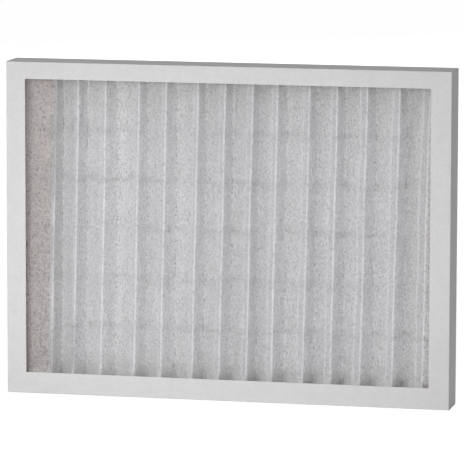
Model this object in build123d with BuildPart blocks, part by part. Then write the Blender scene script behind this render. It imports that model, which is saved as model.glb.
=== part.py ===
"""Pleated panel air filter, standing on its long bottom edge.

Two folded board trays nest back to front and clamp a pleated fleece pack. The pack is held to
shape by a welded wire grid on its downstream side, and adhesive beds it in on all four edges.

X runs along the width, Y from the air-entering face (-Y) to the air-leaving face (+Y), Z up.
The origin is the middle of the bottom edge. All sizes are in millimetres.
"""
from build123d import *
from math import atan2, degrees
import os

os.makedirs("parts", exist_ok=True)

# ---- Driving dimensions: frame -------------------------------------------------------------
frame_width = 495.0
frame_height = 368.0
frame_depth = 44.5

board = 0.8  # caliper of the folded beverage board
fold_radius = 1.0  # outside radius of a creased fold
glue_line = 0.1  # film of glue between two boards laid face to face

flange_left = 21.5  # widths of the ring round the window, the same on both faces
flange_right = 22.5
flange_top = 19.0
flange_bottom = 23.5
window_corner = 1.2  # die-cut corner radius of both windows

rear_edge_step = 1.3  # the outer walls stop this far short of the rear face
tab_length = 30.0  # glue tabs folded in from the ends of the side walls
tab_taper = 5.0  # a tab's free end is cut back by this much on both edges
fold_relief = 1.5  # notch beside a fold, so that neighbouring flaps don't tear
flap_end_gap = 0.4  # free space between a flap's end and what lies beside it
flap_front_gap = 3.0  # the rear tray's flaps stop this far behind the front ring

# ---- Driving dimensions: pleat pack --------------------------------------------------------
media_thickness = 1.6
crest_setback = 3.6  # free space between the front ring and the crests
crest_width = 5.0  # flat between the two creases of a crest
valley_width = 3.0  # flat at the bottom of a valley
crease_radius = 0.7  # outside radius of the fleece at a crease
first_crest = 51.0  # from the left side of the frame to the middle of the first crest
last_crest = 29.5  # from the middle of the last crest to the right side of the frame
crest_spacing = (5, 6, 7.5, 6, 7, 6, 6, 5.5, 7, 6, 6.5, 7, 6.5)  # shares of the run between them
pleat_lean = 7.5  # each valley sits this far left of the middle between two crests
end_leg = 30.0  # depth of the two end legs, which are glued to the sides
side_bed = 0.6  # adhesive between an end leg and the side of the frame
edge_bed = 1.5  # adhesive under the cut edges of the pleats

# ---- Driving dimensions: wire grid ---------------------------------------------------------
grid_wire = 1.0  # side of the wire's square section
grid_rows = 7  # formed wires, one above the other
grid_margin = 18.0  # from the edge of the fleece to the first and last formed wire
grid_end_gap = 5.0  # the straight wires stop this far from the edge of the fleece
grid_setback = 3.6  # free space between the grid and the rear ring
weld_bite = 0.15  # depth that crossing wires are melted into each other

# ---- Frame: places worked out from the sizes -----------------------------------------------
half_width = frame_width / 2
front_face = -frame_depth / 2
rear_face = frame_depth / 2
nest_step = board + glue_line  # from the outside of the frame to the rear tray's flaps
lining = nest_step + board  # from the outside of the frame to the inside of its double wall
window_width = frame_width - flange_left - flange_right
window_height = frame_height - flange_bottom - flange_top
window_middle = ((flange_left - flange_right) / 2, flange_bottom + window_height / 2)


def four_corners(shape):
    """The shape and its mirror images at the frame's three other corners."""
    pair = [shape, shape.mirror(Plane.XY.offset(frame_height / 2))]
    return pair + [copy.mirror(Plane.YZ) for copy in pair]


# The window that is die-cut through both rings.
with BuildPart() as window:
    with BuildSketch(Plane.XZ):
        with Locations(window_middle):
            RectangleRounded(window_width, window_height, window_corner)
    extrude(amount=frame_depth, both=True)

# ---- Front tray: ring, four walls and four glue tabs, folded from one board ----------------
tab_front = front_face + board + fold_relief
tab_rear = rear_face - board - fold_relief
tab_fold_height = frame_height / 2 - nest_step  # from mid height to the fold of a tab

# The slit that frees a side wall from the end of the top wall, which laps over it.
with BuildPart() as corner_slit:
    with BuildSketch(Plane.XY.offset(frame_height - nest_step)):
        with Locations((half_width, tab_front)):
            Rectangle(board, frame_depth, align=(Align.MAX, Align.MIN))
    extrude(amount=glue_line)

# The tab that a side wall ends in, folded against the inside of the top wall.
with BuildPart() as glue_tab:
    with BuildSketch(Plane.XY.offset(frame_height - lining)):
        with BuildLine():
            Polyline(
                (half_width - board, tab_front),
                (half_width - board - tab_length, tab_front + tab_taper),
                (half_width - board - tab_length, tab_rear - tab_taper),
                (half_width - board, tab_rear),
                close=True,
            )
        make_face()
    extrude(amount=board)

with BuildPart() as front_frame:
    with BuildSketch(Plane.XZ.offset(-front_face)):
        with Locations((0, frame_height / 2)):
            Rectangle(frame_width, frame_height)
    extrude(amount=rear_edge_step - frame_depth)
    fillet(front_frame.faces().sort_by(Axis.Y)[0].edges(), fold_radius)
    offset(amount=-board, openings=front_frame.faces().sort_by(Axis.Y)[-1])
    add(four_corners(corner_slit.part), mode=Mode.SUBTRACT)
    add(four_corners(glue_tab.part))
    tab_folds = front_frame.edges().filter_by(
        lambda edge: abs(abs(edge.center().X) - half_width) < glue_line
        and abs(abs(edge.center().Z - frame_height / 2) - tab_fold_height) < glue_line / 2
        and edge.length > tab_rear - tab_front
    )
    fillet(tab_folds, fold_radius / 2)
    add(window.part, mode=Mode.SUBTRACT)

# ---- Rear tray: ring and four flaps, nested inside the walls of the front tray -------------
flap_depth = frame_depth - board - flap_front_gap

# The notch that keeps the flaps clear of a glue tab.
with BuildPart() as tab_notch:
    with BuildSketch(Plane.XY.offset(frame_height - lining - flap_end_gap)):
        with Locations((half_width, rear_face - board)):
            Rectangle(board + tab_length + flap_end_gap, flap_depth, align=(Align.MAX, Align.MAX))
    extrude(amount=lining + flap_end_gap)

with BuildPart() as rear_frame:
    with BuildSketch(Plane.XZ.offset(-rear_face)):
        with Locations((0, frame_height / 2)):
            Rectangle(frame_width - 2 * nest_step, frame_height - 2 * nest_step)
    extrude(amount=flap_depth)
    fillet(rear_frame.faces().sort_by(Axis.Y)[-1].edges(), fold_radius)
    offset(amount=-board, openings=rear_frame.faces().sort_by(Axis.Y)[0])
    add(four_corners(tab_notch.part), mode=Mode.SUBTRACT)
    add(window.part, mode=Mode.SUBTRACT)

# ---- Pleat pack: middle line of the folded fleece, seen from above -------------------------
pack_front = front_face + board + crest_setback
pack_rear = rear_face - board - grid_setback - grid_wire
crest_level = pack_front + media_thickness / 2
valley_level = pack_rear - media_thickness / 2
leg_place = half_width - lining - side_bed - media_thickness / 2
leg_level = pack_rear - end_leg
pack_bottom = lining + edge_bed
pack_height = frame_height - 2 * pack_bottom

crest_step = (frame_width - first_crest - last_crest) / sum(crest_spacing)
crests = [first_crest - half_width]
for share in crest_spacing:
    crests.append(crests[-1] + share * crest_step)
valleys = [(a + b) / 2 - pleat_lean for a, b in zip(crests, crests[1:])]
valleys.append(leg_place - valley_width / 2)


def flat(middle, width, level):
    """The two creases of a crest or a valley."""
    return [(middle - width / 2, level), (middle + width / 2, level)]


folds = flat(valley_width / 2 - leg_place, valley_width, valley_level)
for crest, valley in zip(crests, valleys):
    folds += flat(crest, crest_width, crest_level)
    folds += flat(valley, valley_width, valley_level)
flanks = list(zip(folds[1:-1:2], folds[2:-1:2]))

# ---- Pleated media: one fleece sheet with flat crests, valleys and two end legs ------------
with BuildPart() as pleated_media:
    with BuildSketch(Plane.XY.offset(pack_bottom)) as pleat_section:
        with BuildLine():
            Polyline((-leg_place, leg_level), *folds, (leg_place, leg_level))
        trace(line_width=media_thickness)
        crest_creases = pleat_section.vertices().group_by(Axis.Y)[0]
        valley_creases = pleat_section.vertices().group_by(Axis.Y)[-1]
        fillet(crest_creases + valley_creases, crease_radius)
    extrude(amount=pack_height)

# ---- Wire grid: formed wires that follow the pleats, welded to straight ones ---------------
first_row = pack_bottom + grid_margin
row_step = (pack_height - 2 * grid_margin) / (grid_rows - 1)
row_planes = [Plane.XY.offset(first_row + row * row_step) for row in range(grid_rows)]
wire_offset = (media_thickness + grid_wire) / 2
straight_offset = wire_offset + grid_wire - weld_bite

with BuildPart() as wire_grid:
    with BuildSketch(*row_planes):
        with BuildLine():
            fold_line = Polyline(*folds, mode=Mode.PRIVATE)
            offset(fold_line, wire_offset, kind=Kind.INTERSECTION, side=Side.LEFT, closed=False)
        trace(line_width=grid_wire)
    extrude(amount=grid_wire / 2, both=True)
    with BuildSketch(Plane.XY.offset(pack_bottom + grid_end_gap)):
        for start, end in flanks:
            run = Vector(*end) - Vector(*start)
            middle = Vector(*start) + run / 2
            away = Vector(-run.Y, run.X).normalized() * straight_offset
            with Locations(Location(middle + away, (0, 0, degrees(atan2(run.Y, run.X))))):
                Rectangle(grid_wire, grid_wire)
    extrude(amount=pack_height - 2 * grid_end_gap)

# ---- Adhesive: beds under the cut edges of the pleats, and strips behind the end legs ------
with BuildPart() as seal_bottom:
    with BuildSketch(Plane.XY.offset(lining)):
        with Locations((0, (pack_front + pack_rear) / 2)):
            Rectangle(frame_width - 2 * lining - 2 * glue_line, pack_rear - pack_front)
    extrude(amount=edge_bed)

with BuildPart() as seal_left:
    with BuildSketch(Plane.XY.offset(pack_bottom)):
        with Locations((lining - half_width, pack_rear)):
            Rectangle(side_bed, end_leg, align=(Align.MIN, Align.MAX))
    extrude(amount=pack_height)

with BuildPart() as seal_top:
    mirror(seal_bottom.part, about=Plane.XY.offset(frame_height / 2))

with BuildPart() as seal_right:
    mirror(seal_left.part, about=Plane.YZ)

# ---- Labels and files ----------------------------------------------------------------------
front_frame.part.label = "front_frame"
export_step(front_frame.part, "parts/front_frame.step")
rear_frame.part.label = "rear_frame"
export_step(rear_frame.part, "parts/rear_frame.step")
pleated_media.part.label = "pleated_media"
export_step(pleated_media.part, "parts/pleated_media.step")
wire_grid.part.label = "wire_grid"
export_step(wire_grid.part, "parts/wire_grid.step")
seal_top.part.label = "seal_top"
export_step(seal_top.part, "parts/seal_top.step")
seal_bottom.part.label = "seal_bottom"
export_step(seal_bottom.part, "parts/seal_bottom.step")
seal_left.part.label = "seal_left"
export_step(seal_left.part, "parts/seal_left.step")
seal_right.part.label = "seal_right"
export_step(seal_right.part, "parts/seal_right.step")
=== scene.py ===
"""Looks of a pleated panel air filter: the finish of its board frame, its fleece, grid and glue."""
import math

import bpy
import numpy as np
from bpy.props import (
    FloatProperty,
    FloatVectorProperty,
    IntProperty,
    PointerProperty,
    StringProperty,
)
from mathutils import Matrix, Vector, noise


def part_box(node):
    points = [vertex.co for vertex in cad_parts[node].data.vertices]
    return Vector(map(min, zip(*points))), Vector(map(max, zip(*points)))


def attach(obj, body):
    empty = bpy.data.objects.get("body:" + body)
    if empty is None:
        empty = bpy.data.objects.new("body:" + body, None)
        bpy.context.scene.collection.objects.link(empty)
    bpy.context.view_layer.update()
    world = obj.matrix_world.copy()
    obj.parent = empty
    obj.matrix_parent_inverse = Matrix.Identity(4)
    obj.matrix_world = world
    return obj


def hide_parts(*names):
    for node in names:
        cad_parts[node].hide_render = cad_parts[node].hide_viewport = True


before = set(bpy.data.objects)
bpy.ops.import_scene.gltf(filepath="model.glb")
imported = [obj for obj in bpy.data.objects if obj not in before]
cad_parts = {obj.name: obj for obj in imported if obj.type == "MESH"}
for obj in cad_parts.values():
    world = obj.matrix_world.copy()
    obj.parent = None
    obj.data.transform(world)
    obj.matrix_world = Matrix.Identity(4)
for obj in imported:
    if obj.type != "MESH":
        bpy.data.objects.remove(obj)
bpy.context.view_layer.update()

bl_info = {
    "name": "Pleated Panel Filter",
    "version": (1, 0, 0),
    "blender": (4, 5, 0),
    "location": "View3D > Sidebar > Filter",
    "description": "Builds the fleece, wire grid, finishes and stage of a pleated panel filter",
    "category": "Add Mesh",
}

MM = 0.001
FRAME_LOW, FRAME_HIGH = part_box("front_frame")
PACK_LOW, PACK_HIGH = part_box("pleated_media")


# ---- Sizes and colours that a user would change ---------------------------------------------
class FleeceSettings(bpy.types.PropertyGroup):
    """The pleated fleece."""

    thickness: FloatProperty(
        name="Thickness", description="Thickness of the sheet", default=1.6 * MM, unit="LENGTH"
    )
    first_crest: FloatProperty(
        name="First Crest",
        description="From the left side of the frame to the middle of the first crest",
        default=51 * MM,
        unit="LENGTH",
    )
    last_crest: FloatProperty(
        name="Last Crest",
        description="From the middle of the last crest to the right side of the frame",
        default=29.5 * MM,
        unit="LENGTH",
    )
    crest_width_left: FloatProperty(
        name="Crest Width, Left",
        description="Flat between the two creases of the first crest",
        default=2.4 * MM,
        unit="LENGTH",
    )
    crest_width_right: FloatProperty(
        name="Crest Width, Right",
        description="Flat between the two creases of the last crest",
        default=7.5 * MM,
        unit="LENGTH",
    )
    valley_width: FloatProperty(
        name="Valley Width",
        description="Flat at the bottom of a valley",
        default=2.4 * MM,
        unit="LENGTH",
    )
    pleat_lean: FloatProperty(
        name="Pleat Lean",
        description="How far each valley sits left of the middle between two crests",
        default=10 * MM,
        unit="LENGTH",
    )
    end_leg: FloatProperty(
        name="End Leg",
        description="Depth of the two glued end legs",
        default=30 * MM,
        unit="LENGTH",
    )
    crease_reach: FloatProperty(
        name="Crease Reach",
        description="How far a crease's bend runs along the sheet to each side",
        default=1.3 * MM,
        unit="LENGTH",
    )
    slant: FloatProperty(
        name="Slant",
        description="How far the top of a crest stands right of its bottom",
        default=7.5 * MM,
        unit="LENGTH",
    )
    wander: FloatProperty(
        name="Wander",
        description="How far a crease wanders from its straight line",
        default=0.7 * MM,
        unit="LENGTH",
    )
    ripple: FloatProperty(
        name="Ripple",
        description="Depth of the soft waves in a flank",
        default=0.7 * MM,
        unit="LENGTH",
    )
    end_belly: FloatProperty(
        name="End Belly",
        description="How far the long flank at the left end bellies out",
        default=13 * MM,
        unit="LENGTH",
    )
    # Painted shade: the fleece is painted darker for this distance below its top edge.
    top_shade_reach: FloatProperty(
        name="Top Stain",
        description="How far the adhesive stains the fleece below its top edge",
        default=110 * MM,
        unit="LENGTH",
    )
    # Painted shade: the fleece is painted darker for this distance above its bottom edge.
    bottom_shade_reach: FloatProperty(
        name="Bottom Stain",
        description="How far the adhesive stains the fleece above its bottom edge",
        default=50 * MM,
        unit="LENGTH",
    )
    # Up to this height the fleece is also painted lighter, against the shade in its bottom bed.
    bottom_pack: FloatProperty(
        name="Bottom Pack",
        description="Up to this height the fleece is packed too tightly to let light by",
        default=26 * MM,
        unit="LENGTH",
    )
    rows: IntProperty(name="Rows", description="Rows of faces up the sheet", default=64, min=2)
    fibre_spacing: FloatProperty(
        name="Fibre Spacing",
        description="Distance between the tufts of fibre that show on the face",
        default=2.5 * MM,
        unit="LENGTH",
    )
    colour: StringProperty(name="Colour", description="Colour of the fleece", default="#FCFCFD")
    shade_colour: StringProperty(
        name="Shade Colour", description="Colour between the tufts of fibre", default="#C3C3C5"
    )
    # Painted light as well as pressing: this white lies on a crest's creases, partly as a painted
    # highlight, on the seated bottom of the fleece and at the valley of the long end flank.
    crease_and_light_colour: StringProperty(
        name="Crease Colour", description="Colour of the pressed crest creases", default="#FCFCFD"
    )
    # Painted shade: the fleece over a crest is painted this darker grey, where the front light
    # falls most.
    crest_shade_colour: StringProperty(
        name="Crest Colour", description="Colour of the fleece over a crest", default="#CCCCCE"
    )
    # This tint darkens the glued legs, soaked with adhesive, and is painted shade on the long end
    # flank and along the top and bottom edges of the fleece.
    soaked_and_shade_tint: StringProperty(
        name="Soaked Tint", description="Tint of fleece soaked with adhesive", default="#D5CECB"
    )
    openness: FloatProperty(
        name="Openness",
        description="Share of the light on the fleece that goes into it",
        default=0.62,
        min=0,
        max=1,
        subtype="FACTOR",
    )


class BoardSettings(bpy.types.PropertyGroup):
    """The folded board of the two trays."""

    colour: StringProperty(
        name="Colour", description="Colour of the coated face", default="#E2E1E1"
    )
    back_colour: StringProperty(
        name="Back Colour", description="Colour of the uncoated side", default="#CDB797"
    )
    mottle_spacing: FloatProperty(
        name="Mottle Spacing",
        description="Size of the cloudy spots in the coating",
        default=9 * MM,
        unit="LENGTH",
    )
    tooth_spacing: FloatProperty(
        name="Tooth Spacing",
        description="Size of the fine unevenness of the paper",
        default=2.4 * MM,
        unit="LENGTH",
    )


class GridSettings(bpy.types.PropertyGroup):
    """The welded wire grid."""

    wire: FloatProperty(
        name="Wire", description="Diameter of the wire", default=1.0 * MM, unit="LENGTH"
    )
    rows: IntProperty(
        name="Rows", description="Formed wires, one above the other", default=7, min=1
    )
    margin: FloatProperty(
        name="Margin",
        description="From the edge of the fleece to the first and last formed wire",
        default=18 * MM,
        unit="LENGTH",
    )
    end_gap: FloatProperty(
        name="End Gap",
        description="The straight wires stop this far from the edge of the fleece",
        default=5 * MM,
        unit="LENGTH",
    )
    weld_bite: FloatProperty(
        name="Weld Bite",
        description="Depth that crossing wires are melted into each other",
        default=0.15 * MM,
        unit="LENGTH",
    )
    sides: IntProperty(name="Sides", description="Faces round a wire", default=8, min=3)
    colour: StringProperty(name="Colour", description="Colour of the zinc", default="#B9BCBE")


class AdhesiveSettings(bpy.types.PropertyGroup):
    """The set adhesive."""

    colour: StringProperty(name="Colour", description="Colour of the adhesive", default="#E3DECF")


class StageSettings(bpy.types.PropertyGroup):
    """Floor, lights and camera."""

    azimuth: FloatProperty(
        name="Azimuth",
        description="How far the camera stands to the right",
        default=math.radians(12.6),
        subtype="ANGLE",
    )
    elevation: FloatProperty(
        name="Elevation",
        description="How far the camera looks down",
        default=math.radians(7.9),
        subtype="ANGLE",
    )
    roll: FloatProperty(
        name="Roll",
        description="Turn of the camera about its view",
        default=math.radians(0.13),
        subtype="ANGLE",
    )
    distance: FloatProperty(
        name="Distance", description="From the camera to the filter", default=4.395, unit="LENGTH"
    )
    target: FloatVectorProperty(
        name="Target",
        description="Point that the camera looks at",
        default=(1.8 * MM, 0, 184 * MM),
        subtype="TRANSLATION",
    )
    lens: FloatProperty(
        name="Lens", description="Focal length of the camera", default=311.8, unit="CAMERA"
    )
    floor_size: FloatProperty(
        name="Floor Size", description="Side of the floor", default=80, unit="LENGTH"
    )
    key_power: FloatProperty(
        name="Key Power", description="Power of the large soft light", default=3.9, unit="POWER"
    )
    fill_power: FloatProperty(
        name="Fill Power", description="Power of the weaker light", default=1.5, unit="POWER"
    )
    low_power: FloatProperty(
        name="Low Power",
        description="Power of the light close to the floor",
        default=1.7,
        unit="POWER",
    )
    back_power: FloatProperty(
        name="Back Power", description="Power of the light behind", default=158, unit="POWER"
    )
    back_fill_power: FloatProperty(
        name="Back Fill Power",
        description="Power of the weaker light behind",
        default=14,
        unit="POWER",
    )
    ambient: FloatProperty(
        name="Ambient", description="Strength of the light from all round", default=0.21, min=0
    )


# ---- Shapes shared by the pieces ------------------------------------------------------------
CREST_SPACING = (5, 6, 7.5, 6, 7, 6, 6, 5.5, 7, 6, 6.5, 7, 6.5)  # shares of the run between them
BEND_STEPS = 4  # points round a crease
FLANK_STEPS = 9  # points along a flank
FLAT_STEPS = 2  # points along a crest or a valley
MARKS = ("creased", "packed", "crest_painted_shade", "soaked_and_painted_shade", "seated")

# Kinds of unevenness: change from one fold to the next, change per metre of height, and a seed.
CREST_WANDER = (3.7, 9, 1)
CREST_WIDTH = (2.3, 14, 2)
LEFT_DIP = (5.1, 22, 3)
RIGHT_DIP = (6.7, 26, 4)
VALLEY_WANDER = (4.9, 8, 5)
FLANK_RIPPLE = (1.9, 16, 6)
SEED_STEP = 7.31  # keeps the kinds apart

CREASE_OFFSET = 1.6 * MM  # from a crest's place to its right crease, at mid height
WIDTH_CHANGE = 0.25  # share by which the width of a crest changes
DIP_SHARE = 0.5  # how far a left crease dips back, as a share of the wander
RIGHT_DIP_SHARE = 0.4  # how far a right crease dips back, as a share of a left one's dip
VALLEY_SLANT = 0.5  # slant of a valley, as a share of a crest's
ALONG_FLANK = 1.5  # change of the ripple from one edge of a flank to the other
END_FLANK = 3  # which stretch between two folds is the long flank at the left end
BELLY_SKEW = 0.7  # below 1, the belly is deepest in the left half of that flank
FADE = 1.5  # power by which packing, and the painted light at the long end flank's valley, fade along a flank

LEFT_CREASE, CREASE_CHANGE = 0.25, 0.35  # how strongly a left crease's whitening, partly painted highlight, shows at the first crest, and its rise
TOP_PAINTED_SHADE, BOTTOM_PAINTED_SHADE = 0.12, 0.06  # painted shade on the top and bottom edges of the fleece
PACK_FADE = 3  # the packing at the bottom fades over one of this many parts of its height
SEATED_PAINTED_LIGHT = 0.8  # painted light: how much the fleece is whitened where seated in the bottom bed, against the shade there


def wave(place, z, kind, along=0.0):
    """Smooth unevenness between -1 and 1, the same on each run."""
    across, upward, seed = kind
    return noise.noise(Vector((place * across + along, z * upward, seed * SEED_STEP)))


def end_flank_painted_shade(t):
    """How much painted shade darkens the long end flank, from its valley at 0 to its crest at 1:
    none for its first fifth, full from its middle on, and a little less again at its crest."""
    return 0.85 * min(1.0, max(0.0, 3 * t - 0.6)) * (1 - 0.3 * t**5)


class Pleats:
    """The middle line of the folded fleece, at any height."""

    def __init__(self, fleece):
        self.fleece = fleece
        half = fleece.thickness / 2
        self.crest_level = PACK_LOW.y + half
        self.valley_level = PACK_HIGH.y - half
        self.leg_level = PACK_HIGH.y - fleece.end_leg
        self.left = PACK_LOW.x + half
        self.right = PACK_HIGH.x - half
        self.middle_height = (PACK_LOW.z + PACK_HIGH.z) / 2
        self.height = PACK_HIGH.z - PACK_LOW.z
        run = (FRAME_HIGH.x - fleece.last_crest) - (FRAME_LOW.x + fleece.first_crest)
        step = run / sum(CREST_SPACING)
        self.crests = [FRAME_LOW.x + fleece.first_crest]
        for share in CREST_SPACING:
            self.crests.append(self.crests[-1] + share * step)

    def folds(self, z):
        """The creases at height z, from the left end leg to the right one."""
        fleece = self.fleece
        rise = (z - self.middle_height) / self.height
        last = len(self.crests) - 1
        points = [(self.left, self.leg_level), (self.left, self.valley_level)]
        points.append((self.left + fleece.valley_width, self.valley_level))
        for n, crest in enumerate(self.crests):
            share = n / last
            width = fleece.crest_width_left * (1 - share) + fleece.crest_width_right * share
            right = crest + CREASE_OFFSET + fleece.slant * rise
            right += fleece.wander * wave(n, z, CREST_WANDER)
            left = right - width * (1 + WIDTH_CHANGE * wave(n, z, CREST_WIDTH))
            dip = DIP_SHARE * fleece.wander
            left_dip = dip * (1 + wave(n, z, LEFT_DIP))
            right_dip = dip * (1 + wave(n, z, RIGHT_DIP)) * RIGHT_DIP_SHARE
            points.append((left, self.crest_level + left_dip))
            points.append((right, self.crest_level + right_dip))
            if n < last:
                middle = (crest + self.crests[n + 1]) / 2 - fleece.pleat_lean
                wander = fleece.wander * wave(n, z, VALLEY_WANDER)
                middle += VALLEY_SLANT * fleece.slant * rise + wander
                points.append((middle - fleece.valley_width / 2, self.valley_level))
                points.append((middle + fleece.valley_width / 2, self.valley_level))
        points.append((self.right - fleece.valley_width, self.valley_level))
        points.append((self.right, self.valley_level))
        points.append((self.right, self.leg_level))
        return np.array(points)

    def line(self, z):
        """Points along the sheet at height z, marks from 0 to 1 for how each point is whitened by
        pressing and painted light, packed, darkened over a crest as painted shade, darkened by glue
        in the legs and by painted shade elsewhere, and seated, and where each inner flank's middle
        is among them."""
        folds = self.folds(z)
        kinds = self.kinds()
        reach = self.fleece.crease_reach
        points, middles = [folds[0]], []
        marks = {name: [0.0] for name in MARKS}
        marks["soaked_and_painted_shade"] = [1.0]
        above = z - PACK_LOW.z
        # Painted shade, darker towards the top and bottom edges of the fleece.
        edge_painted_shade = TOP_PAINTED_SHADE * max(0.0, 1 - (PACK_HIGH.z - z) / self.fleece.top_shade_reach) ** 2
        edge_painted_shade += BOTTOM_PAINTED_SHADE * max(0.0, 1 - above / self.fleece.bottom_shade_reach) ** 2
        packing = PACK_FADE - PACK_FADE * above / self.fleece.bottom_pack
        seated = min(1.0, max(0.0, packing))

        def add(point, creased=0.0, packed=0.0, crest_painted_shade=0.0, soaked_and_painted_shade=0.0):
            points.append(point)
            # Painted light: seated fleece is whitened like a crease, against the shade in its
            # bottom bed.
            pressed_and_painted_light = max(creased, SEATED_PAINTED_LIGHT * seated)
            values = (pressed_and_painted_light, packed, crest_painted_shade, max(soaked_and_painted_shade, edge_painted_shade), seated)
            for name, value in zip(MARKS, values):
                marks[name].append(value)

        for n in range(1, len(folds)):
            start, end = folds[n - 1], folds[n]
            run = end - start
            along = run / np.linalg.norm(run)
            # Known fault: where a flat is narrower than twice the reach, as the valleys and the
            # first crest are, final lies before first. The line runs back there, so that the two
            # faces of the fleece swap and the formed wires pass through it.
            first = start + along * (reach if n > 1 else 0)
            final = end - along * (reach if n < len(folds) - 1 else 0)
            before, after = kinds[n - 1][0], kinds[n][0]
            glued = 1.0 if n < END_FLANK or n > len(folds) - END_FLANK else 0.0
            side = np.array((-along[1], along[0]))
            steps = FLAT_STEPS if before == after else FLANK_STEPS
            for k in range(0 if n > 1 else 1, steps + 1):
                t = k / steps
                if before == after:
                    add(
                        first + (final - first) * t,
                        crest_painted_shade=float(after == "crest"),
                        soaked_and_painted_shade=glued,
                    )
                    continue
                bulge = self.fleece.ripple * wave(n, z, FLANK_RIPPLE, t * ALONG_FLANK)
                soft = math.sin(math.pi * t) * bulge
                creased, packed, soaked_and_painted_shade = 0.0, t**FADE if after == "valley" else 0.0, glued
                if n == END_FLANK:  # bellies out to the front; at its valley packed and painted lighter against the shade
                    soft -= math.sin(math.pi * t**BELLY_SKEW) * self.fleece.end_belly
                    creased = packed = (1 - t) ** FADE
                    soaked_and_painted_shade = end_flank_painted_shade(t)
                point = first + (final - first) * t + side * soft
                # Known fault: only the left end is held back, so that the right end leg ripples
                # into its adhesive.
                point[0] = max(point[0], self.left)
                add(point, creased, packed, 0.0, soaked_and_painted_shade)
            if before != after and 1 < n < len(folds) - 1:
                middles.append(len(points) - 1 - steps // 2)
            if n < len(folds) - 1:
                turn = folds[n + 1] - end
                onward = end + turn / np.linalg.norm(turn) * reach
                for k in range(1, BEND_STEPS):
                    t = k / BEND_STEPS
                    point = final * (1 - t) ** 2 + 2 * end * t * (1 - t) + onward * t**2
                    # Whitening of a crest crease, partly from pressing and partly a painted
                    # highlight.
                    crease = kinds[n][1] * math.sin(math.pi * t)
                    add(point, crease, 0.0, float(after == "crest"), glued)
        return np.array(points), marks, middles

    def kinds(self):
        """What each crease is, and how sharply a crest crease shows."""
        kinds = [("leg", 0.0), ("valley", 0.0), ("valley", 0.0)]
        last = len(self.crests) - 1
        for n in range(last + 1):
            kinds += [("crest", LEFT_CREASE + CREASE_CHANGE * n / last), ("crest", 1.0)]
            kinds += [("valley", 0.0), ("valley", 0.0)]
        return kinds + [("leg", 0.0)]


def normals_of(points):
    """Unit normals of a line in plan, pointing to the air-leaving side."""
    along = np.gradient(points, axis=0)
    along /= np.linalg.norm(along, axis=1)[:, None]
    return np.stack((-along[:, 1], along[:, 0]), axis=1)


def mesh_object(name, points, faces):
    """A new smooth object in the scene from points and faces."""
    mesh = bpy.data.meshes.new(name)
    mesh.from_pydata([tuple(p) for p in points], [], faces)
    mesh.validate()
    mesh.shade_smooth()
    piece = bpy.data.objects.new(name, mesh)
    bpy.context.scene.collection.objects.link(piece)
    return piece


def grid_faces(rows, columns, start=0, flip=False):
    """Quads between rows of points that lie one after the other."""
    faces = []
    for r in range(rows - 1):
        for c in range(columns - 1):
            a = start + r * columns + c
            quad = (a, a + 1, a + columns + 1, a + columns)
            faces.append(quad[::-1] if flip else quad)
    return faces


def tube(path, across, up, radius, sides):
    """Points and faces of a closed tube along a path, with its section's two axes at each point."""
    points = []
    for place, a, b in zip(path, across, up):
        for k in range(sides):
            turn = 2 * math.pi * k / sides
            points.append(place + radius * (a * math.cos(turn) + b * math.sin(turn)))
    faces = []
    for n in range(len(path) - 1):
        for k in range(sides):
            a = n * sides + k
            b = n * sides + (k + 1) % sides
            faces.append((a, b, b + sides, a + sides))
    faces.append(tuple(range(sides))[::-1])
    faces.append(tuple(range((len(path) - 1) * sides, len(path) * sides)))
    return points, faces


# ---- Materials ------------------------------------------------------------------------------
WHITE, BLACK = (1, 1, 1, 1), (0, 0, 0, 1)
CREST_SHADE_COVER = 0.6  # how far the painted shade over a crest covers the tufts
PACKED_OPENNESS = 0.7  # share of the openness that is left where the fleece is packed
SEATED_OPENNESS = 0.1  # share that is left where it is seated in its bottom bed
FLOOR_GLOW = 0.88  # share of the floor that is seen as plain white, against its real shading


def linear(colour):
    """A hex colour as linear red, green, blue and alpha."""
    values = [int(colour[n : n + 2], 16) / 255 for n in (1, 3, 5)]
    return [v / 12.92 if v <= 0.04045 else ((v + 0.055) / 1.055) ** 2.4 for v in values] + [1.0]


def darker(colour, share):
    """A linear colour with its red, green and blue brought down to a share of them."""
    return [v * share for v in colour[:3]] + [1.0]


def node(tree, kind, settings=None, links=None):
    """Add a node, set its properties or sockets, and link its inputs to other nodes' outputs."""
    added = tree.nodes.new(kind)
    for name, value in (settings or {}).items():
        if isinstance(name, str) and hasattr(added, name):
            setattr(added, name, value)
        else:
            added.inputs[name].default_value = value
    for name, output in (links or {}).items():
        tree.links.new(output, added.inputs[name])
    return added


def new_material(name):
    """An empty material and its node tree."""
    material = bpy.data.materials.new(name)
    material.use_nodes = True
    material.node_tree.nodes.clear()
    return material, material.node_tree


def close_material(tree, shader):
    """Link a shader to the material's surface."""
    node(tree, "ShaderNodeOutputMaterial", links={"Surface": shader.outputs[0]})


def noise_node(tree, position, spacing, detail, roughness, twist=0.0):
    """A noise whose spots are about as far apart as the spacing, in metres."""
    scaled = node(
        tree,
        "ShaderNodeMapping",
        {"vector_type": "POINT", "Scale": [1 / spacing] * 3},
        {"Vector": position},
    )
    settings = {"Scale": 1.0, "Detail": detail, "Roughness": roughness, "Distortion": twist}
    return node(tree, "ShaderNodeTexNoise", settings, {"Vector": scaled.outputs[0]})


def tinted(tree, colour, tint):
    """One colour multiplied by another."""
    settings = {"data_type": "RGBA", "blend_type": "MULTIPLY", 0: 1.0}
    return node(tree, "ShaderNodeMix", settings, {6: colour, 7: tint}).outputs[2]


def ramp(tree, value, low, high, colours):
    """Turn a value into a colour, from the first colour at low to the second at high."""
    added = node(tree, "ShaderNodeValToRGB", links={"Fac": value})
    for stop, place, colour in zip(added.color_ramp.elements, (low, high), colours):
        stop.position = place
        stop.color = colour
    return added


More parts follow.
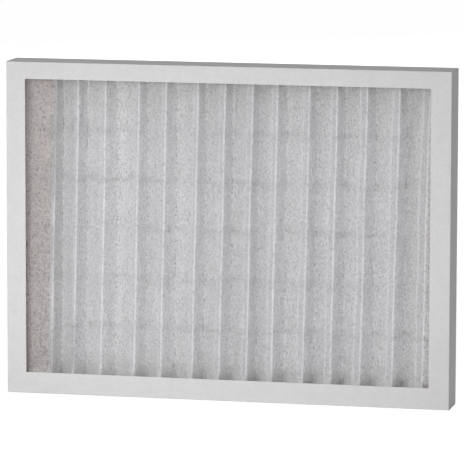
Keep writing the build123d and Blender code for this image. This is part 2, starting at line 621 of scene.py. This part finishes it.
def fleece_material(fleece):
    """Polyester fleece, carded and thermally bonded: matt, tufted, and it lets light through."""
    material, tree = new_material("bonded_polyester_fleece")
    position = node(tree, "ShaderNodeNewGeometry").outputs["Position"]
    # Real fibres are 0.03 mm thick: these tufts are drawn coarser, so that they show.
    tufts = noise_node(
        tree, position, spacing=fleece.fibre_spacing, detail=3.0, roughness=0.65, twist=1.0
    )
    clouds = noise_node(tree, position, spacing=14 * MM, detail=2.0, roughness=0.5)
    coloured = ramp(
        tree, tufts.outputs[0], 0.34, 0.57, (linear(fleece.shade_colour), linear(fleece.colour))
    )
    clouded = ramp(tree, clouds.outputs[0], 0.3, 0.7, ((0.96, 0.955, 0.95, 1), WHITE))
    colour = tinted(tree, coloured.outputs[0], clouded.outputs[0])
    # Fleece is whiter along a crest's creases, partly where pressing whitens it and partly as a
    # painted highlight. It is painted lighter where it is seated in its bottom bed and at the
    # valley of the long end flank, against the shade there. Over the crest between the creases it
    # is smoother and painted darker, a painted shade where the front light falls most. Packed
    # towards a valley it lets less light by, and seated in its bottom bed hardly any. Soaked with
    # adhesive in its glued legs it is darker. The same darkening on the long end flank and along
    # its top and bottom edges is painted shade.
    marks = {
        name: node(tree, "ShaderNodeAttribute", {"attribute_name": name}).outputs["Fac"]
        for name in MARKS
    }
    # Darker where glued, and painted shade on the long end flank and along the edges of the fleece.
    soaked_and_painted_shade = ramp(tree, marks["soaked_and_painted_shade"], 0, 1, (WHITE, linear(fleece.soaked_and_shade_tint)))
    colour = tinted(tree, colour, soaked_and_painted_shade.outputs[0])
    # Painted shade over a crest: its darker colour is mixed in by this share.
    smooth = node(
        tree,
        "ShaderNodeMath",
        {"operation": "MULTIPLY", 1: CREST_SHADE_COVER},
        {0: marks["crest_painted_shade"]},
    )
    colour = node(
        tree,
        "ShaderNodeMix",
        {"data_type": "RGBA", 7: linear(fleece.crest_shade_colour)},
        {0: smooth.outputs[0], 6: colour},
    ).outputs[2]
    # Whitened by pressing and painted light: along the creases, where seated, and at the end
    # flank's valley.
    broken = node(
        tree,
        "ShaderNodeMath",
        {"operation": "MULTIPLY"},
        {0: marks["creased"], 1: ramp(tree, tufts.outputs[0], 0.3, 0.5, (BLACK, WHITE)).outputs[0]},
    )
    whitened = node(
        tree,
        "ShaderNodeMix",
        {"data_type": "RGBA", 7: linear(fleece.crease_and_light_colour)},
        {0: broken.outputs[0], 6: colour},
    ).outputs[2]
    openness = node(
        tree,
        "ShaderNodeMapRange",
        {"To Min": fleece.openness, "To Max": fleece.openness * PACKED_OPENNESS},
        {"Value": marks["packed"]},
    )
    closed = node(
        tree,
        "ShaderNodeMapRange",
        {"To Min": 1.0, "To Max": SEATED_OPENNESS},
        {"Value": marks["seated"]},
    )
    share = node(
        tree,
        "ShaderNodeMath",
        {"operation": "MULTIPLY"},
        {0: openness.outputs[0], 1: closed.outputs[0]},
    )
    bump = node(
        tree,
        "ShaderNodeBump",
        {"Strength": 1.0, "Distance": 1.0 * MM},
        {"Height": tufts.outputs[0]},
    )
    face = node(
        tree,
        "ShaderNodeBsdfPrincipled",
        {
            "Roughness": 0.95,
            "IOR": 1.5,
            "Specular IOR Level": 0.1,
            "Sheen Weight": 0.8,
            "Sheen Roughness": 0.6,
        },
        {"Base Color": whitened, "Normal": bump.outputs[0]},
    )
    through = node(
        tree,
        "ShaderNodeBsdfTranslucent",
        links={"Color": whitened, "Normal": bump.outputs[0]},
    )
    shader = node(
        tree,
        "ShaderNodeMixShader",
        links={0: share.outputs[0], 1: face.outputs[0], 2: through.outputs[0]},
    )
    close_material(tree, shader)
    return material


def board_material(board):
    """Beverage board, clay-coated and die-cut: a smooth matt white face and a brown kraft back."""
    material, tree = new_material("clay_coated_beverage_board")
    geometry = node(tree, "ShaderNodeNewGeometry")
    position = geometry.outputs["Position"]
    mottle = noise_node(tree, position, spacing=board.mottle_spacing, detail=3.0, roughness=0.5)
    tooth = noise_node(tree, position, spacing=board.tooth_spacing, detail=3.0, roughness=0.7)
    face = linear(board.colour)
    coloured = ramp(tree, mottle.outputs[0], 0.3, 0.7, (darker(face, 0.96), face))
    kraft = linear(board.back_colour)
    backed = ramp(tree, mottle.outputs[0], 0.3, 0.7, (darker(kraft, 0.8), kraft))
    # The coating is on the outside: a face that looks back at the middle of the filter is kraft.
    middle = (FRAME_LOW + FRAME_HIGH) / 2
    outward = node(
        tree,
        "ShaderNodeVectorMath",
        {"operation": "SUBTRACT", 1: middle},
        {0: position},
    )
    facing = node(
        tree,
        "ShaderNodeVectorMath",
        {"operation": "DOT_PRODUCT"},
        {0: outward.outputs[0], 1: geometry.outputs["True Normal"]},
    )
    inside = node(
        tree,
        "ShaderNodeMath",
        {"operation": "LESS_THAN", 1: 0.0},
        {0: facing.outputs["Value"]},
    )
    both = node(
        tree,
        "ShaderNodeMix",
        {"data_type": "RGBA"},
        {0: inside.outputs[0], 6: coloured.outputs[0], 7: backed.outputs[0]},
    )
    toothed = ramp(tree, tooth.outputs[0], 0.35, 0.65, ((0.94, 0.935, 0.935, 1), WHITE))
    rough = node(
        tree,
        "ShaderNodeMapRange",
        {"To Min": 0.82, "To Max": 0.9},
        {"Value": mottle.outputs[0]},
    )
    bump = node(
        tree,
        "ShaderNodeBump",
        {"Strength": 0.3, "Distance": 0.15 * MM},
        {"Height": tooth.outputs[0]},
    )
    shader = node(
        tree,
        "ShaderNodeBsdfPrincipled",
        {"IOR": 1.5, "Specular IOR Level": 0.3},
        {
            "Base Color": tinted(tree, both.outputs[2], toothed.outputs[0]),
            "Roughness": rough.outputs[0],
            "Normal": bump.outputs[0],
        },
    )
    close_material(tree, shader)
    return material


def zinc_material(grid):
    """Steel wire, drawn and hot-dip galvanised: dull grey metal with fine lengthwise streaks."""
    material, tree = new_material("galvanised_steel_wire")
    position = node(tree, "ShaderNodeNewGeometry").outputs["Position"]
    spots = noise_node(tree, position, spacing=1.5 * MM, detail=3.0, roughness=0.6)
    zinc = linear(grid.colour)
    coloured = ramp(tree, spots.outputs[0], 0.35, 0.65, (darker(zinc, 0.72), zinc))
    rough = node(
        tree, "ShaderNodeMapRange", {"To Min": 0.32, "To Max": 0.55}, {"Value": spots.outputs[0]}
    )
    shader = node(
        tree,
        "ShaderNodeBsdfPrincipled",
        {"Metallic": 1.0},
        {"Base Color": coloured.outputs[0], "Roughness": rough.outputs[0]},
    )
    close_material(tree, shader)
    return material


def adhesive_material(adhesive):
    """Hot-melt adhesive, set in a bed: cloudy off-white plastic with a soft shine."""
    material, tree = new_material("set_hot_melt_adhesive")
    position = node(tree, "ShaderNodeNewGeometry").outputs["Position"]
    lumps = noise_node(tree, position, spacing=6 * MM, detail=2.0, roughness=0.5)
    face = linear(adhesive.colour)
    coloured = ramp(tree, lumps.outputs[0], 0.35, 0.65, (darker(face, 0.88), face))
    bump = node(
        tree,
        "ShaderNodeBump",
        {"Strength": 0.4, "Distance": 0.6 * MM},
        {"Height": lumps.outputs[0]},
    )
    shader = node(
        tree,
        "ShaderNodeBsdfPrincipled",
        {"Roughness": 0.38, "IOR": 1.48, "Subsurface Weight": 0.3, "Subsurface Scale": 2 * MM},
        {"Base Color": coloured.outputs[0], "Normal": bump.outputs[0]},
    )
    close_material(tree, shader)
    return material


def set_material(piece, material):
    """Give a piece one material."""
    piece.data.materials.clear()
    piece.data.materials.append(material)


# ---- Operators ------------------------------------------------------------------------------
class FILTER_OT_board_frame(bpy.types.Operator):
    """Finish the two folded board trays"""

    bl_idname = "filter.board_frame"
    bl_label = "Board Frame"

    def execute(self, context):
        material = board_material(context.scene.filter_board)
        for name in ("front_frame", "rear_frame"):
            set_material(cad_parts[name], material)
        return {"FINISHED"}


class FILTER_OT_fleece(bpy.types.Operator):
    """Fold the pleated fleece"""

    bl_idname = "filter.fleece"
    bl_label = "Pleated Fleece"

    def execute(self, context):
        fleece = context.scene.filter_fleece
        pleats = Pleats(fleece)
        heights = np.linspace(PACK_LOW.z, PACK_HIGH.z, fleece.rows + 1)
        front, back = [], []
        marks = {name: [] for name in MARKS}
        for z in heights:
            line, row_marks, _ = pleats.line(z)
            for name in MARKS:
                marks[name] += row_marks[name]
            out = normals_of(line) * fleece.thickness / 2
            front.append(np.column_stack((line - out, np.full(len(line), z))))
            back.append(np.column_stack((line + out, np.full(len(line), z))))
        rows, columns = len(heights), len(front[0])
        points = np.concatenate(front + back)
        offset = rows * columns
        faces = grid_faces(rows, columns) + grid_faces(rows, columns, offset, flip=True)
        rim = [r * columns for r in range(rows)]
        rim += [(rows - 1) * columns + c for c in range(1, columns)]
        rim += [r * columns + columns - 1 for r in range(rows - 2, -1, -1)]
        rim += list(range(columns - 2, 0, -1))
        for a, b in zip(rim, rim[1:] + rim[:1]):
            faces.append((a, b, b + offset, a + offset))
        piece = mesh_object("fleece_pleats", points, faces)
        for name, values in marks.items():
            layer = piece.data.attributes.new(name, "FLOAT", "POINT")
            layer.data.foreach_set("value", values * 2)
        set_material(piece, fleece_material(fleece))
        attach(piece, "root")
        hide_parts("pleated_media")
        steps = np.diff(pleats.line(pleats.middle_height)[0], axis=0)
        return {"FINISHED"}


class FILTER_OT_wire_grid(bpy.types.Operator):
    """Form the wire grid behind the fleece"""

    bl_idname = "filter.wire_grid"
    bl_label = "Wire Grid"

    def execute(self, context):
        grid = context.scene.filter_grid
        fleece = context.scene.filter_fleece
        pleats = Pleats(fleece)
        radius = grid.wire / 2
        formed_gap = fleece.thickness / 2 + radius
        straight_gap = formed_gap + grid.wire - grid.weld_bite
        points, faces = [], []

        def keep(new_points, new_faces):
            start = len(points)
            points.extend(new_points)
            faces.extend(tuple(start + n for n in face) for face in new_faces)

        for z in np.linspace(PACK_LOW.z + grid.margin, PACK_HIGH.z - grid.margin, grid.rows):
            leg = FLANK_STEPS + BEND_STEPS  # points of an end leg and its bend, which have no wire
            line = pleats.line(z)[0][leg:-leg]
            out = normals_of(line)
            path = [Vector((*p, z)) for p in line + out * formed_gap]
            across = [Vector((*n, 0)) for n in out]
            up = [Vector((0, 0, 1))] * len(path)
            keep(*tube(path, across, up, radius, grid.sides))
        low = PACK_LOW.z + grid.end_gap
        high = PACK_HIGH.z - grid.end_gap
        heights = np.linspace(low, high, fleece.rows // 2)
        sections = [pleats.line(z) for z in heights]
        for n in range(len(sections[0][2])):
            path, across = [], []
            for z, (line, _, middles) in zip(heights, sections):
                out = normals_of(line)[middles[n]]
                path.append(Vector((*(line[middles[n]] + out * straight_gap), z)))
                across.append(Vector((*out, 0)))
            up = [Vector((-a.y, a.x, 0)) for a in across]
            keep(*tube(path, across, up, radius, grid.sides))
        piece = mesh_object("formed_wires", points, faces)
        set_material(piece, zinc_material(grid))
        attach(piece, "root")
        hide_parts("wire_grid")
        return {"FINISHED"}


class FILTER_OT_adhesive(bpy.types.Operator):
    """Finish the adhesive beds and strips"""

    bl_idname = "filter.adhesive"
    bl_label = "Adhesive"

    def execute(self, context):
        material = adhesive_material(context.scene.filter_adhesive)
        for name in ("seal_top", "seal_bottom", "seal_left", "seal_right"):
            set_material(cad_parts[name], material)
        return {"FINISHED"}


# Where each light stands and how large it is, in degrees and metres.
KEY_LIGHT = {"degrees": -18, "height": 0.5, "distance": 1.15, "width": 0.9, "tall": 0.8}
FILL_LIGHT = {"degrees": 40, "height": 0.34, "distance": 2.0, "width": 1.2, "tall": 0.6}
LOW_LIGHT = {"degrees": -4, "height": 0.15, "distance": 0.6, "width": 0.9, "tall": 0.18}
BACK_LIGHT = {"degrees": -152, "height": 0.5, "distance": 4.2, "width": 3.8, "tall": 1.0}
BACK_FILL = {"degrees": 166, "height": 0.5, "distance": 3.2, "width": 1.6, "tall": 1.0}


def area_light(name, degrees, height, distance, width, tall, power):
    """An upright soft light, so many degrees round to the right of the filter's front, that shines
    level towards it."""
    data = bpy.data.lights.new(name, "AREA")
    data.shape = "RECTANGLE"
    data.size = width
    data.size_y = tall
    data.energy = power
    light = bpy.data.objects.new(name, data)
    bpy.context.scene.collection.objects.link(light)
    azimuth = math.radians(degrees)
    away = Vector((math.sin(azimuth), -math.cos(azimuth), 0))
    light.location = away * distance + Vector((0, 0, height))
    light.rotation_euler = away.to_track_quat("Z", "Y").to_euler()


class FILTER_OT_stage(bpy.types.Operator):
    """Set up the floor, the lights and the camera"""

    bl_idname = "filter.stage"
    bl_label = "Stage"

    def execute(self, context):
        scene = context.scene
        stage = scene.filter_stage
        scene.view_settings.view_transform = "Standard"
        self.floor(stage)
        self.world(scene, stage)
        for name, power, place in (
            ("key_light", stage.key_power, KEY_LIGHT),
            ("fill_light", stage.fill_power, FILL_LIGHT),
            ("low_light", stage.low_power, LOW_LIGHT),
            ("back_light", stage.back_power, BACK_LIGHT),
            ("back_fill", stage.back_fill_power, BACK_FILL),
        ):
            area_light(name, power=power, **place)
        self.camera(scene, stage)
        return {"FINISHED"}

    def seen(self, tree):
        """A value of 1 for what the camera, a reflection or a clear thing shows, 0 for light."""
        path = node(tree, "ShaderNodeLightPath")
        total = path.outputs["Is Camera Ray"]
        for name in ("Is Glossy Ray", "Is Transmission Ray"):
            added = node(
                tree,
                "ShaderNodeMath",
                {"operation": "MAXIMUM"},
                {0: total, 1: path.outputs[name]},
            )
            total = added.outputs[0]
        return total

    def floor(self, stage):
        half = stage.floor_size / 2
        corners = [(-half, -half, 0), (half, -half, 0), (half, half, 0), (-half, half, 0)]
        floor = mesh_object("studio_floor", corners, [(0, 1, 2, 3)])
        material, tree = new_material("matt_white_floor")
        paint = node(tree, "ShaderNodeBsdfDiffuse", {"Color": linear("#F6F6F6")})
        glow = node(tree, "ShaderNodeEmission", {"Color": linear("#FFFFFF"), "Strength": 1.1})
        share = node(
            tree, "ShaderNodeMath", {"operation": "MULTIPLY", 1: FLOOR_GLOW}, {0: self.seen(tree)}
        )
        shader = node(
            tree,
            "ShaderNodeMixShader",
            links={0: share.outputs[0], 1: paint.outputs[0], 2: glow.outputs[0]},
        )
        close_material(tree, shader)
        set_material(floor, material)

    def world(self, scene, stage):
        world = bpy.data.worlds.new("pale_studio")
        world.use_nodes = True
        tree = world.node_tree
        tree.nodes.clear()
        around = node(
            tree, "ShaderNodeBackground", {"Color": linear("#FFFFFF"), "Strength": stage.ambient}
        )
        behind = node(tree, "ShaderNodeBackground", {"Color": linear("#FFFFFF"), "Strength": 1.0})
        mixed = node(
            tree,
            "ShaderNodeMixShader",
            links={0: self.seen(tree), 1: around.outputs[0], 2: behind.outputs[0]},
        )
        node(tree, "ShaderNodeOutputWorld", links={"Surface": mixed.outputs[0]})
        scene.world = world

    def camera(self, scene, stage):
        data = bpy.data.cameras.new("camera")
        data.lens = stage.lens
        data.sensor_width = 36
        data.clip_end = 200
        camera = bpy.data.objects.new("camera", data)
        scene.collection.objects.link(camera)
        away = Vector(
            (
                math.sin(stage.azimuth) * math.cos(stage.elevation),
                -math.cos(stage.azimuth) * math.cos(stage.elevation),
                math.sin(stage.elevation),
            )
        )
        camera.location = Vector(stage.target) + away * stage.distance
        level = away.to_track_quat("Z", "Y").to_matrix()
        turned = level @ Matrix.Rotation(stage.roll, 3, "Z")
        camera.rotation_euler = turned.to_euler()
        scene.camera = camera


# ---- Panel and registration -----------------------------------------------------------------
BUILD_ORDER = (
    FILTER_OT_board_frame,
    FILTER_OT_fleece,
    FILTER_OT_wire_grid,
    FILTER_OT_adhesive,
    FILTER_OT_stage,
)


class FILTER_PT_panel(bpy.types.Panel):
    """The filter's sizes, and a button for each of its pieces"""

    bl_label = "Pleated Panel Filter"
    bl_idname = "FILTER_PT_panel"
    bl_space_type = "VIEW_3D"
    bl_region_type = "UI"
    bl_category = "Filter"

    def draw(self, context):
        for operator in BUILD_ORDER:
            self.layout.operator(operator.bl_idname)
        for name in SETTINGS:
            group = getattr(context.scene, name)
            column = self.layout.column(align=True)
            for prop in group.bl_rna.properties:
                if prop.identifier not in ("rna_type", "name"):
                    column.prop(group, prop.identifier)


SETTINGS = {
    "filter_fleece": FleeceSettings,
    "filter_board": BoardSettings,
    "filter_grid": GridSettings,
    "filter_adhesive": AdhesiveSettings,
    "filter_stage": StageSettings,
}
CLASSES = (*SETTINGS.values(), *BUILD_ORDER, FILTER_PT_panel)


def register():
    for cls in CLASSES:
        bpy.utils.register_class(cls)
    for name, group in SETTINGS.items():
        setattr(bpy.types.Scene, name, PointerProperty(type=group))


def unregister():
    for name in SETTINGS:
        delattr(bpy.types.Scene, name)
    for cls in reversed(CLASSES):
        bpy.utils.unregister_class(cls)


def main():
    register()
    bpy.ops.filter.board_frame()
    bpy.ops.filter.fleece()
    bpy.ops.filter.wire_grid()
    bpy.ops.filter.adhesive()
    bpy.ops.filter.stage()


if __name__ == "__main__":
    main()
